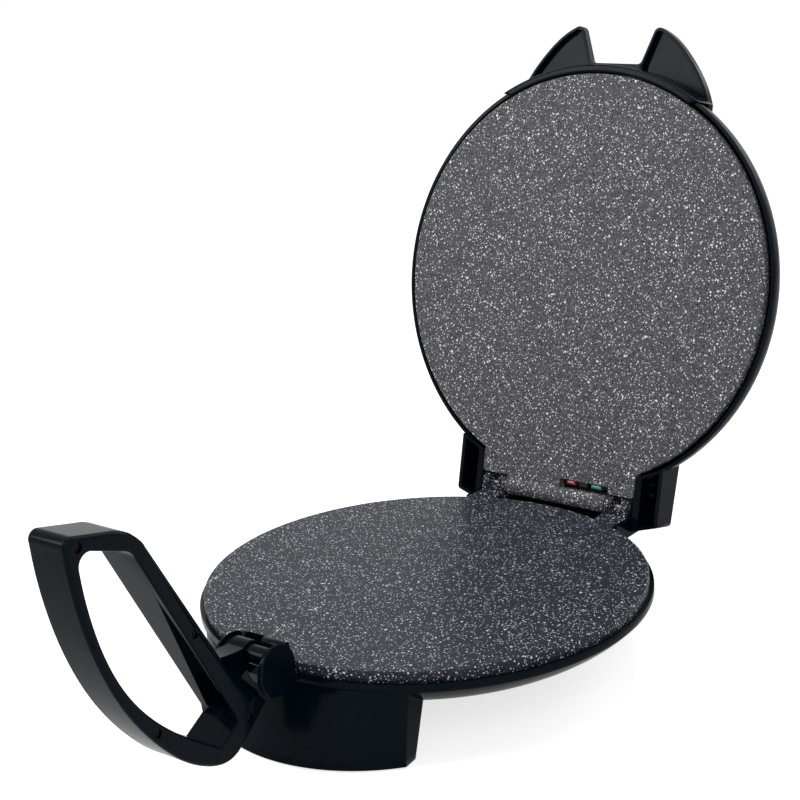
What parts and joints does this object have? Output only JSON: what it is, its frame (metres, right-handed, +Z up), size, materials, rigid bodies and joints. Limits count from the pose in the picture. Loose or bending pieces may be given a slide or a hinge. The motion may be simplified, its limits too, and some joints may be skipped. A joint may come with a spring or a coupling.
{
  "type": "electric flatbread maker",
  "caption": "Electric flatbread maker with round speckled plates, open hinged lid and a long press handle loop in front.",
  "frame": {"origin": "middle of the bounding box's bottom, on the table under the appliance, with the lid open as pictured", "axes": "+Z up; -Y towards the press handle at the front, +Y towards the lid hinge at the back; +X to the right seen from the front"},
  "size_m": [0.311, 0.5912, 0.3981],
  "materials": {
    "shell_black": "gloss",
    "inner_black": "matte",
    "upper_coating": "speckled non-stick coating, satin",
    "lower_coating": "speckled non-stick coating, satin",
    "steel": "satin",
    "heater_steel": "dull",
    "pad_rubber": "matte",
    "ceramic_white": "matte",
    "red_lamp": "translucent gloss",
    "green_lamp": "translucent gloss"
  },
  "bodies": {
    "base": {"base_pan": "shell_black", "hinge_tray": "shell_black", "tray_screws": "steel", "front_foot": "shell_black", "rear_foot": "shell_black", "foot_pads": "pad_rubber", "foot_screws": "steel", "tie_screws": "steel", "lower_plate": "lower_coating", "lower_heater": "heater_steel", "thermostat": "steel", "thermal_fuse": "steel", "terminal_block": "ceramic_white", "cord_gland": "inner_black", "hinge_pin": "steel", "hinge_clips": "steel", "pivot_bracket": "shell_black", "bracket_screws": "steel", "pivot_axle": "shell_black", "pivot_cap_left": "shell_black", "pivot_cap_right": "shell_black", "pivot_washer": "inner_black"},
    "lid": {"lid_shell": "shell_black", "hinge_cover_left": "shell_black", "hinge_cover_right": "shell_black", "cover_screws": "steel", "press_guard": "shell_black", "guard_screws": "steel", "upper_plate": "upper_coating", "upper_heater": "heater_steel", "lid_screws": "steel", "tab_screws": "upper_coating", "red_lens": "red_lamp", "green_lens": "green_lamp", "lamp_holder": "inner_black"},
    "handle": {"handle_left": "shell_black", "handle_right": "shell_black", "handle_screws": "steel"}
  },
  "joints": [
    {"name": "lid_hinge", "type": "hinge", "parent": "base", "child": "lid", "pos_m": [0, 0.18678, 0.0664], "axis": [1, 0, 0], "range_deg": [0, 104.2]},
    {"name": "handle_pivot", "type": "hinge", "parent": "base", "child": "handle", "pos_m": [0, -0.15002, 0.0739], "axis": [-1, 0, 0], "range_deg": [0, 115.5]}
  ]
}
